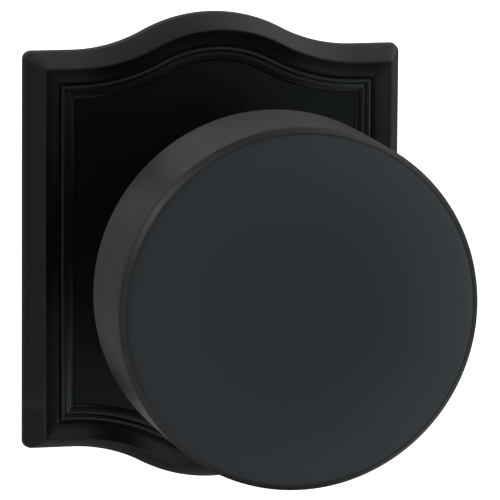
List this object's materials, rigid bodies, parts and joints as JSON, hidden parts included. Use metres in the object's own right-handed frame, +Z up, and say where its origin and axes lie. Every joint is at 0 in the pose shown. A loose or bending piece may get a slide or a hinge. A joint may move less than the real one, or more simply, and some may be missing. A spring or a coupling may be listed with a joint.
{
  "type": "door knob",
  "caption": "Round puck door knob on a waisted neck, spring-returned in an arched moulded rosette, with a square spindle and threaded posts behind.",
  "frame": {"origin": "on the knob's axis, where it meets the door's face, at the rosette's back plane", "axes": "+Z up the door, -Y out of the door towards the hand, +X to the right as seen by the hand"},
  "size_m": [0.07, 0.1224, 0.086],
  "materials": {
    "black_finish": "satin matte black coating on brass",
    "zinc_plate": "bright zinc-plated steel",
    "zinc_casting": "as-cast zinc alloy, lightly machined",
    "spring_steel": "oiled dark spring steel",
    "nylon": "moulded black nylon"
  },
  "bodies": {
    "trim": {"rosette": "black_finish", "neck_bush": "nylon", "mounting_plate": "zinc_plate", "spring_cage": "zinc_plate", "return_spring": "spring_steel", "wave_washer": "spring_steel", "plate_screw_1": "zinc_plate", "plate_screw_2": "zinc_plate", "plate_screw_3": "zinc_plate", "plate_screw_4": "zinc_plate", "cage_rivet_1": "zinc_plate", "cage_rivet_2": "zinc_plate", "cage_rivet_3": "zinc_plate", "cage_rivet_4": "zinc_plate", "mounting_post_1": "zinc_plate", "mounting_post_2": "zinc_plate"},
    "knob": {"knob_face": "black_finish", "knob_shell": "black_finish", "knob_neck": "black_finish", "neck_set_screw": "spring_steel", "drive_hub": "zinc_casting", "spindle": "zinc_plate", "spindle_pin": "spring_steel", "retaining_ring": "spring_steel"}
  },
  "joints": [
    {"name": "knob_turn", "type": "hinge", "parent": "trim", "child": "knob", "pos_m": [0, 0, 0], "axis": [0, 1, 0], "range_deg": [-60, 60], "stiffness_Nm_per_rad": 0.23, "deforming": ["return_spring"]}
  ]
}
